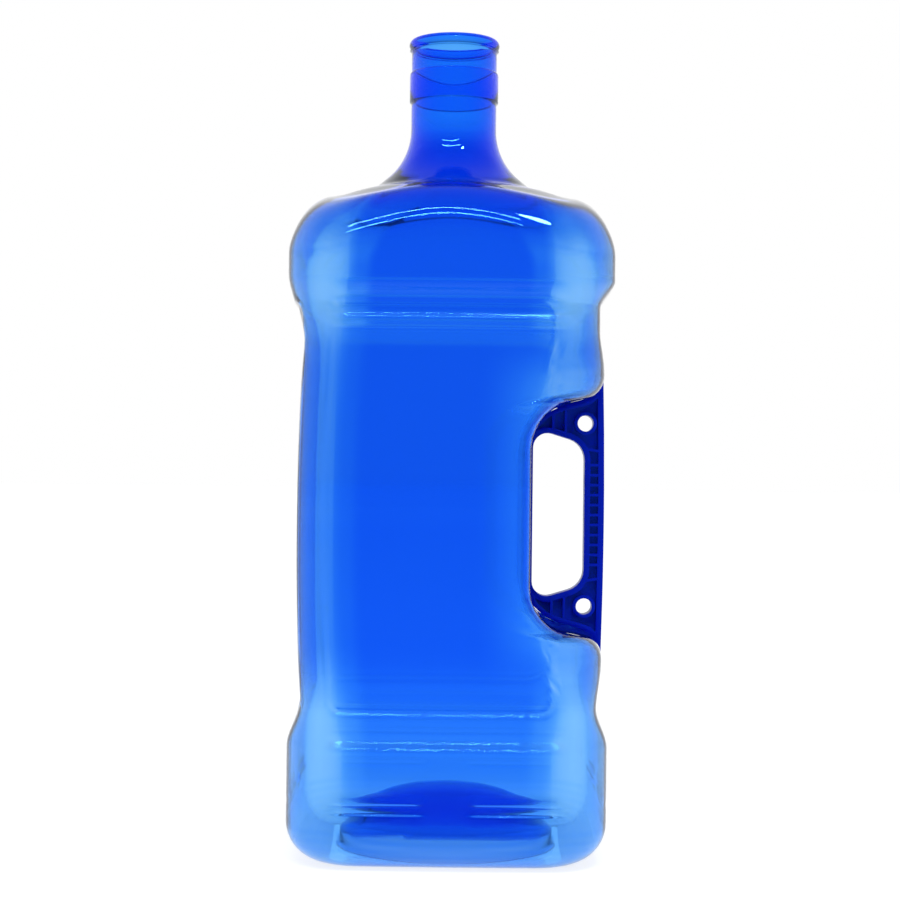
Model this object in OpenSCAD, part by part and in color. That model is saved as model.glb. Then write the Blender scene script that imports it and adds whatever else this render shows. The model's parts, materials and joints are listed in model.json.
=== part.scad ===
// Square water jug for a bottle cooler, with a handle insert held in a notch in one side.
// Front is -Y, the handle is on +X, and the jug stands on Z = 0 with its axis on Z.

/* [Body] */
// Width across two opposite faces, half way up the waist
waist_width = 183; // [165:1:215]
// Height of the base drum, up to where the waist starts
base_height = 91; // [80:1:110]
// Height of the waist, the stretch that holds the handle
waist_height = 211; // [195:1:320]
// Height of the shoulder drum, from the waist to the foot of the neck
shoulder_height = 94; // [85:1:120]
// How far each shoulder face stands out past the waist
shoulder_proud = 4.5; // [2:0.5:9]
// How far each base face stands out past the waist
base_proud = 2; // [0:0.5:8]
// How much narrower each waist face is at its ends than half way up
waist_barrel = 3; // [0:0.5:5]
// How far the middle of a face bows out past its edges
face_bow = 2.8; // [0:0.2:5]
// Wall thickness of the blown body
wall = 1.5; // [1:0.1:2.5]

/* [Corners] */
// Corner radius of the shoulder, seen from above
shoulder_corner = 38; // [28:1:50]
// Corner radius of the waist, seen from above
waist_corner = 25; // [18:1:40]
// Corner radius of the base, seen from above
base_corner = 34; // [30:1:45]
// Radius of the edge between the sides and the underside
base_edge = 25; // [15:1:29]
// Width of the round between the shoulder's side and its deck
shoulder_round_width = 26; // [18:1:34]
// Height of the round between the shoulder's side and its deck
shoulder_round_height = 34; // [24:1:42]

/* [Base dome] */
// Radius of the dome pushed up into the underside, at the ring that the jug stands on
dome_radius = 66; // [45:1:66]
// Height of the dome
dome_height = 34; // [15:1:40]
// Radius of the edge between the dome and the standing ring
dome_edge = 4; // [2:0.5:8]

/* [Neck] */
// Height of the neck, from its foot to the rim
neck_height = 93; // [80:1:120]
// Outside radius of the neck tube
neck_radius = 25.9; // [24:0.1:30]
// Radius of the bore through the neck
bore_radius = 23.5; // [18:0.1:24]
// Radius of the sweep from the neck into the shoulder
neck_sweep = 40; // [30:1:44]
// Outside radius of the bead round the rim
bead_radius = 27.5; // [26:0.1:32]
// Height of the bead
bead_height = 7; // [5:0.5:10]
// Outside radius of the cap band
band_radius = 27; // [26:0.1:32]
// Height of the cap band
band_height = 18; // [10:0.5:25]
// Distance from the rim down to the top of the cap band
band_drop = 20.5; // [14:0.5:26]

/* [Notch] */
// Depth of the notch, from the waist's face to its floor
notch_depth = 45.5; // [38:0.5:60]
// Half the straight height of the notch's floor
notch_straight = 39; // [25:1:45]
// Radius of the notch's inner corners
notch_inner_radius = 27; // [20:1:30]
// Slope of the notch's upper and lower sides, in degrees
notch_slope = 15; // [8:1:25]
// Radius where the notch runs out into the face
notch_outer_radius = 14; // [8:1:18]
// Distance from the middle of the waist up to the middle of the handle
handle_rise = 4.3; // [-10:0.1:10]
// Radius of the edge between the notch's floor and the front and back faces
notch_edge = 6; // [4:0.5:12]
// Largest radius of the scooped corners above and below the notch
scoop_corner = 38; // [26:1:42]

/* [Handle insert] */
// Width of the insert's flanges, front to back
insert_thickness = 13; // [9:0.5:20]
// Thickness of the web between the flanges
web_thickness = 3; // [2:0.5:5]
// Thickness of the flange that lies against the bottle
flange = 3; // [2:0.1:4]
// Thickness of the rim round the hand window
window_rim = 3.4; // [2:0.1:4]
// Height of the hand window
window_height = 99; // [85:1:104]
// Width of the hand window
window_width = 31.5; // [26:0.5:32]
// Distance from the notch's floor to the window
window_offset = 4.4; // [4:0.1:6]
// Radius of the window's corners next to the bottle
window_inner_corner = 9; // [6:0.5:12]
// Radius of the window's corners next to the grip
window_outer_corner = 13; // [8:0.5:14]
// How far the grip stands out past the waist's face
grip_proud = 2.3; // [1:0.1:4]
// Thickness of the flange along the outside of the grip
grip_flange = 3.6; // [2.5:0.1:5]
// Number of ribs across the grip
grip_ribs = 11; // [5:1:13]
// Distance from one grip rib to the next
rib_pitch = 6.05; // [4:0.05:7]
// Thickness of every rib
rib_thickness = 1.6; // [1:0.1:2.5]
// Radius of the two round holes
hole_radius = 4.9; // [3:0.1:5.5]
// Distance between the two round holes
hole_spacing = 111; // [100:1:116]
// Distance from the grip's outer edge to the holes
hole_inset = 11.6; // [9:0.1:14]

/* [Hidden] */
$fn = 96;
eps = 0.01;

bottle_blue = [0.10, 0.36, 0.95, 0.55];
insert_blue = [0.01, 0.03, 0.42];

// Heights
waist_top = base_height + waist_height;
deck = waist_top + shoulder_height;
rim = deck + neck_height;
handle_z = base_height + waist_height / 2 + handle_rise;

// Half widths, measured at the middle of a face
waist_half = waist_width / 2;
shoulder_half = waist_half + shoulder_proud;
base_half = waist_half + base_proud;

// Where the drums run into the waist: the left side has the longer, softer run
base_run_low = base_height - 23;
step_low = waist_top + 20;
step_high = waist_top + 36;
soft_step_low = waist_top - 6;
soft_step_high = waist_top + 41;
shoulder_bow = 1.5;
base_bow = 1;

// How much a corner's radius shrinks for each millimetre that an edge or a round moves in
edge_corner_share = 0.55;
round_corner_share = 0.35;
// How far the shoulder's outline has turned towards a circle at the top of its round
round_turn = 0.25;

// Grid of the blown wall, and the least distance from a level of the sides to the edge or round by it
corner_steps = 6;
side_steps = 3;
edge_gap = 14;
run_gap = 6;
round_gap = 6.5;

// Neck
neck_wall = neck_radius - bore_radius;
bead_edge = 2;
band_edge = 0.8;
rim_chamfer = 1;
// The blown wall stands this far inside the turned neck and laps this far up into it
neck_cover = 0.45;
neck_lap = 3;
bore_lap = 8;
sweep_end = 50;
deck_slope = 78;
foot_radius = 16;
sweep_line = 7;
sweep_drop = neck_sweep * sin(sweep_end) + sweep_line * cos(sweep_end)
    + foot_radius * (sin(deck_slope) - sin(sweep_end));
sweep_reach = neck_sweep * (1 - cos(sweep_end)) + sweep_line * sin(sweep_end)
    + foot_radius * (cos(sweep_end) - cos(deck_slope));
sweep_top = deck + sweep_drop;

// Notch, as distances from the jug's axis (x) and from the handle's middle (z)
floor_x = waist_half - notch_depth;
arm_angle = 90 - notch_slope;
inner_end_x = floor_x + notch_inner_radius * (1 - cos(arm_angle));
inner_end_z = notch_straight + notch_inner_radius * sin(arm_angle);
outer_start_x = waist_half - notch_outer_radius * (1 - sin(notch_slope));
outer_start_z = inner_end_z + (outer_start_x - inner_end_x) * tan(notch_slope);
notch_half = outer_start_z + notch_outer_radius * cos(notch_slope);
scoop_fade = 26;
// The right face's bow starts to show this far inside the waist's face
bow_run = 18;

// Insert
grip_x = waist_half + grip_proud;
grip_sag = grip_proud / 2;
grip_bend = (notch_half * notch_half + grip_sag * grip_sag) / (2 * grip_sag);
window_x = floor_x + window_offset;
window_edge = window_x + window_width;
window_slope = 17;
hole_x = grip_x - hole_inset;
boss_radius = hole_radius + 2;
// Each arm's upright ribs stand at these shares of the window's width and lap into its rim
arm_ribs = [0.36, 0.6];
rib_lap = 4;
// A slanted rib crosses the grip by each end of the window, this far in from the end
slant_inset = 9;
slant = 8;

function mix(a, b, t) = a + (b - a) * t;
function limit(t) = min(max(t, 0), 1);
function ease(t) = let (s = limit(t)) s * s * (3 - 2 * s);
function ramp(z, low, high) = ease((z - low) / (high - low));
function unit(v) = v / norm(v);

// Half width of a face at height z, between the drums
function barrel(z) = let (t = limit((z - base_height) / waist_height))
    waist_half - waist_barrel * pow(2 * t - 1, 2);
function drum(z, low, high) = barrel(z)
    + (base_half - barrel(z)) * (1 - ramp(z, base_run_low, base_height))
    + (shoulder_half - barrel(z)) * ramp(z, low, high);
function corner(z) = waist_corner
    + (base_corner - waist_corner) * (1 - ramp(z, base_run_low, base_height))
    + (shoulder_corner - waist_corner) * ramp(z, soft_step_low, soft_step_high);
function bow(z) = face_bow
    + (base_bow - face_bow) * (1 - ramp(z, base_run_low, base_height))
    + (shoulder_bow - face_bow) * ramp(z, step_low, step_high);

// The notch's outline: how far from the axis the bottle reaches at a height d from the handle's middle
function notch_x(d) =
    d <= notch_straight ? floor_x
    : d <= inner_end_z
        ? floor_x + notch_inner_radius - sqrt(pow(notch_inner_radius, 2) - pow(d - notch_straight, 2))
    : d <= outer_start_z ? inner_end_x + (d - inner_end_z) / tan(notch_slope)
    : d < notch_half
        ? waist_half - notch_outer_radius + sqrt(pow(notch_outer_radius, 2) - pow(notch_half - d, 2))
    : waist_half;

// The heights, from the handle's middle, at which the notch's outline has a point
notch_heights = [
    notch_straight * 0.5, notch_straight,
    for (a = [arm_angle / 4 : arm_angle / 4 : arm_angle + eps])
        notch_straight + notch_inner_radius * sin(a),
    for (t = [0.5, 1]) mix(inner_end_z, outer_start_z, t),
    for (a = [68, 57, 42, 22, 0])
        if (a < arm_angle) notch_half - notch_outer_radius * sin(a)
];

// One level of the body: its height, three half widths, two corner radii, two bows and squareness
function level(z) =
    let (d = abs(z - handle_z),
         fade = 1 - ramp(d, notch_half, notch_half + scoop_fade),
         full = drum(z, step_low, step_high),
         right = d < notch_half + eps ? notch_x(d) : mix(full, max(full, waist_half), fade),
         depth = (waist_half - right) / notch_depth,
         scoop = mix(scoop_corner, notch_edge, depth))
    [z, drum(z, soft_step_low, soft_step_high), right, full,
     corner(z), mix(corner(z), scoop, fade),
     bow(z), bow(z) * ramp(right, waist_half - bow_run, waist_half), 1];

// Points of one level, starting at the +X side's back edge and going round by +Y.
// The middle third of a side is flat, and the insert lies against it.
function side_points(from, to, out, rise) = [
    for (i = [1 : side_steps - 1]) mix(from, to, i / side_steps) + out * rise
];
function arc_points(centre, radius, start) = [
    for (i = [0 : corner_steps])
        centre + radius * [cos(start + 90 * i / corner_steps), sin(start + 90 * i / corner_steps)]
];
function outline(left, right, depth, corner_left, corner_right, bow_out, bow_right) =
    let (xr = right - bow_right, xl = left - bow_out, y = depth - bow_out,
         fr = xr - corner_right, fl = xl - corner_left,
         yr = y - corner_right, yl = y - corner_left)
    concat(
        arc_points([fr, yr], corner_right, 0), side_points([fr, y], [-fl, y], [0, 1], bow_out),
        arc_points([-fl, yl], corner_left, 90), side_points([-xl, yl], [-xl, -yl], [-1, 0], bow_out),
        arc_points([-fl, -yl], corner_left, 180), side_points([-fl, -y], [fr, -y], [0, -1], bow_out),
        arc_points([fr, -yr], corner_right, 270), side_points([xr, -yr], [xr, yr], [1, 0], bow_right)
    );
round_outline = [for (p = outline(1, 1, 1, 0.5, 0.5, 0, 0)) unit(p)];
ring_size = len(round_outline);

function ring(l) =
    let (square_line = outline(l[1], l[2], l[3], l[4], l[5], l[6], l[7]))
    [for (i = [0 : ring_size - 1])
        let (p = mix(l[3] * round_outline[i], square_line[i], l[8])) [p[0], p[1], l[0]]];
function even_ring(z, half, radius, out, squareness) =
    ring([z, half, half, half, radius, radius, out, out, squareness]);

// Underside, from the top of the dome out to the foot of the sides
function round_ring(z, r) = even_ring(z, r, r / 2, 0, 0);
dome_rings = concat(
    [for (a = [15 : 15 : 90])
        round_ring(dome_edge + (dome_height - dome_edge) * cos(a), (dome_radius - dome_edge) * sin(a))],
    [for (a = [45, 90]) round_ring(dome_edge * (1 - sin(a)), dome_radius - dome_edge * cos(a))]
);
edge_rings = [
    for (a = [0 : 18 : 90])
        let (s = base_edge * (1 - sin(a)))
        even_ring(base_edge * (1 - cos(a)), base_half - s, base_corner - s * edge_corner_share, base_bow, 1)
];

// Sides, with a level wherever the drums or the notch need one
side_heights = concat(
    [base_edge + edge_gap, base_run_low - run_gap],
    [for (t = [0 : 0.25 : 1]) mix(base_run_low, base_height, t)],
    [for (i = [len(notch_heights) - 1 : -1 : 0]) handle_z - notch_heights[i]],
    [handle_z],
    [for (d = notch_heights) handle_z + d],
    [for (t = [0 : 0.2 : 1]) mix(step_low, step_high, t)]
);
side_rings = [
    for (z = side_heights)
        if (z < deck - shoulder_round_height - round_gap) ring(level(z))
];

// Shoulder, deck and the sweep up into the neck
round_drop = (shoulder_half - shoulder_round_width - neck_radius - sweep_reach) / tan(deck_slope);
round_top = deck - round_drop;
shoulder_rings = [
    for (a = [0, 15, 30, 45, 60, 75, 90])
        let (s = shoulder_round_width * (1 - cos(a)))
        even_ring(round_top - shoulder_round_height * (1 - sin(a)), shoulder_half - s,
            shoulder_corner - s * round_corner_share, shoulder_bow,
            1 - round_turn * s / shoulder_round_width)
];
foot_rings = [
    for (a = [deck_slope, (deck_slope + sweep_end) / 2])
        let (r = neck_radius + sweep_reach - foot_radius * (cos(a) - cos(deck_slope)))
        round_ring(deck + foot_radius * (sin(deck_slope) - sin(a)), r)
];
sweep_rings = [
    for (a = [sweep_end : -10 : 10])
        let (r = neck_radius - neck_cover + neck_sweep * (1 - cos(a)))
        round_ring(sweep_top - neck_sweep * sin(a), r)
];
neck_rings = [
    for (z = [sweep_top, sweep_top + neck_lap]) round_ring(z, neck_radius - neck_cover)
];

outer_rings = concat(
    dome_rings, edge_rings, side_rings, shoulder_rings, foot_rings, sweep_rings, neck_rings
);
ring_count = len(outer_rings);
thick_from = ring_count - len(sweep_rings) - len(neck_rings) - len(foot_rings);
dome_top = [0, 0, dome_height];

// The inner skin is the outer one moved in along its own normals by the wall thickness
function wall_at(i) = i < thick_from ? wall
    : mix(wall, neck_wall, limit((i - thick_from + 1) / (ring_count - 3 - thick_from)));
function inward(i, j) =
    let (next = outer_rings[i][(j + 1) % ring_size],
         last = outer_rings[i][(j + ring_size - 1) % ring_size],
         above = outer_rings[min(i + 1, ring_count - 1)][j],
         below = i == 0 ? dome_top : outer_rings[i - 1][j])
    unit(cross(above - below, next - last));
inner_rings = [
    for (i = [0 : ring_count - 1])
        [for (j = [0 : ring_size - 1]) outer_rings[i][j] + wall_at(i) * inward(i, j)]
];

// Faces are wound clockwise as seen from outside; flip turns them for the inner skin
function fan(pole, first, flip) = [
    for (j = [0 : ring_size - 1])
        let (a = first + j, b = first + (j + 1) % ring_size) flip ? [pole, b, a] : [pole, a, b]
];
function band(low, high, flip) = [
    for (j = [0 : ring_size - 1])
        let (k = (j + 1) % ring_size, a = low + j, b = low + k, c = high + k, d = high + j)
        each (flip ? [[a, b, c], [a, c, d]] : [[a, c, b], [a, d, c]])
];
module blown_wall() {
    inner_pole = 1 + ring_count * ring_size;
    points = concat(
        [dome_top], [for (r = outer_rings) each r],
        [dome_top + [0, 0, wall]], [for (r = inner_rings) each r]
    );
    last = ring_count - 1;
    faces = concat(
        fan(0, 1, false),
        [for (i = [0 : last - 1]) each band(1 + i * ring_size, 1 + (i + 1) * ring_size, false)],
        band(1 + last * ring_size, inner_pole + 1 + last * ring_size, false),
        fan(inner_pole, inner_pole + 1, true),
        [for (i = [0 : last - 1])
            each band(inner_pole + 1 + i * ring_size, inner_pole + 1 + (i + 1) * ring_size, true)]
    );
    polyhedron(points, faces);
}

// A ring's section with its two outer edges rounded
module rounded_section(inside, outside, low, high, edge) {
    translate([inside, low]) square([outside - edge - inside, high - low]);
    translate([inside, low + edge]) square([outside - inside, high - low - 2 * edge]);
    for (z = [low + edge, high - edge]) translate([outside - edge, z]) circle(edge);
}

module neck_outside() {
    inside = bore_radius - 1;
    rotate_extrude() {
        translate([inside, sweep_top - neck_lap])
            square([neck_radius - inside, rim - bead_edge - sweep_top + neck_lap]);
        rounded_section(inside, bead_radius, rim - bead_height, rim, bead_edge);
        rounded_section(inside, band_radius, rim - band_drop - band_height, rim - band_drop, band_edge);
    }
}

module neck_bore() {
    translate([0, 0, sweep_top - bore_lap])
        cylinder(h = rim - sweep_top + bore_lap + rim_chamfer, r = bore_radius);
    translate([0, 0, rim - rim_chamfer])
        cylinder(h = rim_chamfer + eps, r1 = bore_radius, r2 = bore_radius + rim_chamfer + eps);
}

module bottle_shell() {
    color(bottle_blue)
    difference() {
        union() {
            blown_wall();
            neck_outside();
        }
        neck_bore();
    }
}

// The insert's edge against the bottle, moved in from the notch by inset, from the lower tip to the upper
function edge_height(i) = i < 0 ? -notch_heights[-i - 1] : i > 0 ? notch_heights[i - 1] : 0;
notch_edge_points = [
    for (i = [-len(notch_heights) : len(notch_heights)])
        [notch_x(abs(edge_height(i))), edge_height(i)]
];
function edge_normal(i) =
    let (last = len(notch_edge_points) - 1,
         along = unit(notch_edge_points[min(i + 1, last)] - notch_edge_points[max(i - 1, 0)]))
    [along[1], -along[0]];
// The area between the notch, moved in by inset, and the grip's outer edge, moved in by outer_inset
module insert_area(inset, outer_inset) {
    far = grip_x + outer_inset + 10;
    reach = 1.1;
    intersection() {
        polygon(concat(
            [for (i = [0 : len(notch_edge_points) - 1]) notch_edge_points[i] + inset * edge_normal(i)],
            [[far, notch_half], [far, -notch_half]]
        ));
        polygon(concat(
            [for (t = [-reach : reach / 11 : reach + eps])
                [grip_x - outer_inset - grip_bend + sqrt(pow(grip_bend, 2) - pow(t * notch_half, 2)),
                 t * notch_half]],
            [[0, reach * notch_half], [0, -reach * notch_half]]
        ));
    }
}

// The hand window: two round corners by the bottle and two larger ones by the grip, joined by slopes
module window_shape(grow) {
    inner_r = window_inner_corner;
    outer_r = window_outer_corner;
    lean = [cos(90 - window_slope), sin(90 - window_slope)];
    inner_c = [window_x + inner_r, window_height / 2 - inner_r];
    outer_cx = window_edge - outer_r;
    outer_c = [outer_cx, (lean * inner_c + inner_r - outer_r - lean[0] * outer_cx) / lean[1]];
    upper = concat(
        [for (a = [0 : (90 - window_slope) / 6 : 90 - window_slope + eps])
            outer_c + (outer_r + grow) * [cos(a), sin(a)]],
        [for (a = [90 - window_slope : (90 + window_slope) / 8 : 180 + eps])
            inner_c + (inner_r + grow) * [cos(a), sin(a)]]
    );
    polygon(concat(upper, [for (i = [len(upper) - 1 : -1 : 0]) [upper[i][0], -upper[i][1]]]));
}

// Ribs that cross the hollows of the insert
module rib_lines() {
    rib_x = window_edge + window_rim / 2;
    for (i = [0 : grip_ribs - 1])
        translate([rib_x, (i - (grip_ribs - 1) / 2) * rib_pitch - rib_thickness / 2])
            square([grip_x - grip_flange / 2 - rib_x, rib_thickness]);
    for (side = [-1, 1]) {
        for (share = arm_ribs)
            translate([window_x + share * window_width,
                       side > 0 ? window_height / 2 - rib_lap : -notch_half])
                square([rib_thickness, notch_half - window_height / 2 + rib_lap]);
        translate([window_edge - rib_lap, side * (window_height / 2 - slant_inset)])
            rotate(-slant * side) translate([0, -rib_thickness / 2])
                square([grip_x - grip_flange / 2 - window_edge + rib_lap, rib_thickness]);
        translate([hole_x, side * hole_spacing / 2]) circle(boss_radius);
    }
}

module upright(thickness) {
    translate([0, thickness / 2, handle_z]) rotate([90, 0, 0]) linear_extrude(thickness) children();
}

module handle_insert() {
    color(insert_blue)
    difference() {
        union() {
            upright(web_thickness) insert_area(0, 0);
            upright(insert_thickness) difference() {
                insert_area(0, 0);
                difference() {
                    insert_area(flange, grip_flange);
                    window_shape(window_rim);
                    rib_lines();
                }
            }
        }
        upright(insert_thickness + 2) window_shape(0);
        for (side = [-1, 1])
            translate([hole_x, insert_thickness / 2 + 1, handle_z + side * hole_spacing / 2])
                rotate([90, 0, 0]) cylinder(h = insert_thickness + 2, r = hole_radius);
    }
}

bottle_shell();
handle_insert();
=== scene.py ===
"""Square water jug with a handle insert: the moulded shapes, finishes and studio round its CAD frame."""
import json
import math

import bpy
import numpy as np
from mathutils import Matrix, Vector


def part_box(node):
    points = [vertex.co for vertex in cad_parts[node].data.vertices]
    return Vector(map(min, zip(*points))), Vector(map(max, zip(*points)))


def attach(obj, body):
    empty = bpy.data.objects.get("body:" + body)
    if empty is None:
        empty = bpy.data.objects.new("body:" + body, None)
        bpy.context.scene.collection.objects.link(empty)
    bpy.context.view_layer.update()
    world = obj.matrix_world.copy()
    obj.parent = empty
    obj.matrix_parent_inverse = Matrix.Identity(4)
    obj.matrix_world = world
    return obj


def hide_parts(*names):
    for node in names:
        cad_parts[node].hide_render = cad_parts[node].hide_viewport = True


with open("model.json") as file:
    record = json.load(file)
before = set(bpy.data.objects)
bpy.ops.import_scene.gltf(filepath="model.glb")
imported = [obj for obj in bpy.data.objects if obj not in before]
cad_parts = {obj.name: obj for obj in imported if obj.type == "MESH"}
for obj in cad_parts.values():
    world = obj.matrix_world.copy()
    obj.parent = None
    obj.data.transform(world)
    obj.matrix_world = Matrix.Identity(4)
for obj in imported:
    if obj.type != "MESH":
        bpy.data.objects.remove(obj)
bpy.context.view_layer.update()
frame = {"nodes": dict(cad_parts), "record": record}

bl_info = {
    "name": "Water Jug",
    "version": (1, 0, 0),
    "blender": (4, 5, 0),
    "location": "View3D > Sidebar > Water Jug",
    "description": "Builds a blow-moulded square water jug and its handle insert",
    "category": "Add Mesh",
}

MM = 0.001
BODY = "root"
BOTTLE_NODE = "bottle_shell"
INSERT_NODE = "handle_insert"


def mm_box(node):
    """A CAD node's lowest and highest corners in millimetres."""
    return [[v / MM for v in corner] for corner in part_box(node)]


def mount(name):
    """The record's entry for a mount."""
    return next(m for m in frame["record"]["mounts"] if m["name"] == name)


# Driving sizes of the bottle in millimetres, from the frame where it has them
BOTTLE_HIGH = mm_box(BOTTLE_NODE)[1]
INSERT_LOW, INSERT_HIGH = mm_box(INSERT_NODE)
RIM = BOTTLE_HIGH[2]
SHOULDER_HALF = BOTTLE_HIGH[0]
SHOULDER_STEP, BASE_STEP = 4.5, 2.0
WAIST_HALF = SHOULDER_HALF - SHOULDER_STEP
BASE_HALF = WAIST_HALF + BASE_STEP
BORE = mount("neck_bore")["dims"]["r_mm"]
BEAD = mount("neck_bead")["dims"]["r_mm"]
HANDLE_Z = (INSERT_LOW[2] + INSERT_HIGH[2]) / 2
FLOOR_X = INSERT_LOW[0]
NOTCH_HALF = (INSERT_HIGH[2] - INSERT_LOW[2]) / 2

# Heights of the stretches of the body
WAIST_LOW = 91.0
WAIST_HIGH = 302.0
DECK = 396.0
BASE_RUN_LOW = WAIST_LOW - 23.0
STEP_LOW = WAIST_HIGH + 20.0
STEP_HIGH = WAIST_HIGH + 36.0
SOFT_STEP_LOW = WAIST_HIGH - 6.0
SOFT_STEP_HIGH = WAIST_HIGH + 41.0

# Rounds, seen from above and from the side. A share says how much of an inset a corner's radius loses.
BASE_CORNER, WAIST_CORNER, SHOULDER_CORNER = 34.0, 25.0, 38.0
BASE_EDGE = 25.0
ROUND_WIDTH, ROUND_HEIGHT = 26.0, 34.0
EDGE_CORNER_SHARE, ROUND_CORNER_SHARE = 0.55, 0.35
WAIST_BARREL = 3.0
BASE_BOW, WAIST_BOW, SHOULDER_BOW = 1.0, 2.8, 1.5
BOW_SPAN = 62.0
DOME_RADIUS, DOME_HEIGHT, DOME_EDGE = 66.0, 34.0, 4.0

# The deck sags towards its corners, over these heights and from this far out
DECK_SAG = 0.0041
SAG_HEIGHTS, SAG_FROM = (332, 378), (50, 72)

# Neck: a tube, a band for the cap, and a bead with a lip. A blend is a small concave round.
NECK = 25.9
BAND, BAND_HEIGHT, BAND_DROP = 27.0, 18.0, 20.5
BAND_EDGE, BAND_BLEND, BAND_GAP = 0.8, 0.5, 2.0
BEAD_HEIGHT = 7.0
BEAD_FLAT, BEAD_ROUND, BEAD_BLEND, LIP = 0.4, 3.0, 1.2, 1.2
SWEEP, SWEEP_LINE, FOOT = 40.0, 7.0, 16.0
SWEEP_END, DECK_SLOPE = math.radians(50), math.radians(78)

# Notch, whose outline the insert shares
NOTCH_STRAIGHT = 39.0
NOTCH_INNER = 27.0
NOTCH_OUTER = 14.0
NOTCH_SLOPE = math.radians(15)
NOTCH_EDGE = 6.0
SCOOP_CORNER = 38.0
SCOOP_FADE = 26.0

# Details of the faces: heights up the jug and places across a face
FACE_FROM = 78.0
FACE_BLEND = (-4, 6)
STEPS_ACROSS = (57, 70)
SILL_LOW, SILL_HIGH = 324.5, 334.5
RIDGE_Z, RIDGE_REACH = 312.3, 5.0
LAND, LAND_HEIGHTS, LAND_FALL = 0.8, (93, 95), (68, 76)
CREASE, CREASE_Z, CREASE_REACH = 0.6, 80.2, 1.1
PANEL_MIDDLE, PANEL_HALF = (-4, 206.4), (64, 117.1)
PANEL_ROUND, PANEL_EDGE, PANEL_TO_NOTCH = 8.0, 3.3, (28, 12)
GROOVE_U, GROOVE_Z, GROOVE_HALF, GROOVE_EDGE = 37.5, 36.4, (25.5, 2.8), 2.2
GROOVES_BELOW = 60.0
INNER_BLUR = 0.6

# Where the wall changes thickness: radii under the jug, heights at its foot, radii at the neck's foot
DOME_RING, THIN_FOOT, NECK_RING = (48, 54), (12, 32), (34, 62)

# How dark the plastic is drawn, from 0 where it is stretched thin to 1 where it is thick; beside the notch
# and on the ridge and the step it is drawn paler as painted light
BASE_TONE, CORNER_TONE, WAIST_CORNER_TONE, NOTCH_PAINTED_LIGHT_TONE, RING_TONE = 0.5, 0.2, 0.8, 0.45, 0.85
STEP_PAINTED_HIGHLIGHT, SHOULDER_GAIN = 0.5, 0.1

# Columns of the body's grid: half of the right side, a corner, and each other side
RIGHT_HALF_COLUMNS = 8
CORNER_COLUMNS = 13
SIDE_COLUMNS = 52
# share of a corner that is wholly corner, and columns past it over which it fades
CORNER_CORE, CORNER_FADE = 0.3, 7
COLUMNS = 2 * RIGHT_HALF_COLUMNS + 4 * CORNER_COLUMNS + 3 * SIDE_COLUMNS

# Studio, in metres and watts
FLOOR_SIZE = 30
OPAL = (0.35, 0.35, 0.35, 1)
OPAL_GLOW = 0.85
CEILING = 0.3
TOP_LIGHT, TOP_LIGHT_ANGLE = 0.2, math.radians(120)
AIM = (0, 0, 0.3)
KEY = {"azimuth": 29, "elevation": 55, "distance": 1.6, "size": (0.09, 0.14), "power": 5}
STRIP = {"azimuth": -7, "distance": 1.5, "size": (0.96, 0.045), "power": 6}
STRIP_ELEVATIONS = (44, 53)

# Camera: level with the middle of the jug, close in front of its -Y face
CAMERA_AWAY, CAMERA_HEIGHT = 1.1577, 0.23215
CAMERA_TILT, CAMERA_LEAN = math.radians(0.354), math.radians(0.653)
CAMERA_LENS, CAMERA_SENSOR = 75.92, 36


def mix(a, b, t):
    return a + (b - a) * t


def ease(t):
    s = min(max(t, 0.0), 1.0)
    return s * s * (3 - 2 * s)


def ramp(value, low, high):
    return ease((value - low) / (high - low))


def steps(low, high, count):
    """Count values from low to high, both included."""
    return [mix(low, high, i / (count - 1)) for i in range(count)]


# ---------------------------------------------------------------- sizes and colours


class JugBottleSizes(bpy.types.PropertyGroup):
    panel_wall: bpy.props.FloatProperty(
        name="Panel wall",
        description="Wall thickness in the middle of a face",
        default=1.5 * MM, min=0.8 * MM, max=3 * MM, subtype="DISTANCE", unit="LENGTH",
    )
    corner_wall: bpy.props.FloatProperty(
        name="Corner wall",
        description="Wall thickness at the corners, where the plastic stretches most",
        default=0.6 * MM, min=0.5 * MM, max=2 * MM, subtype="DISTANCE", unit="LENGTH",
    )
    dome_wall: bpy.props.FloatProperty(
        name="Dome wall",
        description="Wall thickness in the dome under the jug",
        default=2.6 * MM, min=1 * MM, max=4 * MM, subtype="DISTANCE", unit="LENGTH",
    )
    panel_recess: bpy.props.FloatProperty(
        name="Panel recess",
        description="Depth of the flat panel in the front, back and left faces",
        default=1.6 * MM, min=0.5 * MM, max=2 * MM, subtype="DISTANCE", unit="LENGTH",
    )
    groove_depth: bpy.props.FloatProperty(
        name="Groove depth",
        description="Depth of the short grooves in the base drum",
        default=1.1 * MM, min=0.5 * MM, max=2 * MM, subtype="DISTANCE", unit="LENGTH",
    )
    ridge_height: bpy.props.FloatProperty(
        name="Ridge height",
        description="How far the ridge across the top of each panel stands out",
        default=1.6 * MM, min=0.5 * MM, max=2.5 * MM, subtype="DISTANCE", unit="LENGTH",
    )


class JugInsertSizes(bpy.types.PropertyGroup):
    edge_radius: bpy.props.FloatProperty(
        name="Edge radius",
        description="Radius of the moulded edges of the handle insert",
        default=0.5 * MM, min=0.1 * MM, max=0.8 * MM, subtype="DISTANCE", unit="LENGTH",
    )


def linear(hex_colour):
    """Linear RGB of an sRGB hex colour such as 1A66F2."""
    parts = [int(hex_colour[i : i + 2], 16) / 255 for i in (0, 2, 4)]
    return tuple(c / 12.92 if c <= 0.04045 else ((c + 0.055) / 1.055) ** 2.4 for c in parts)


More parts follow.
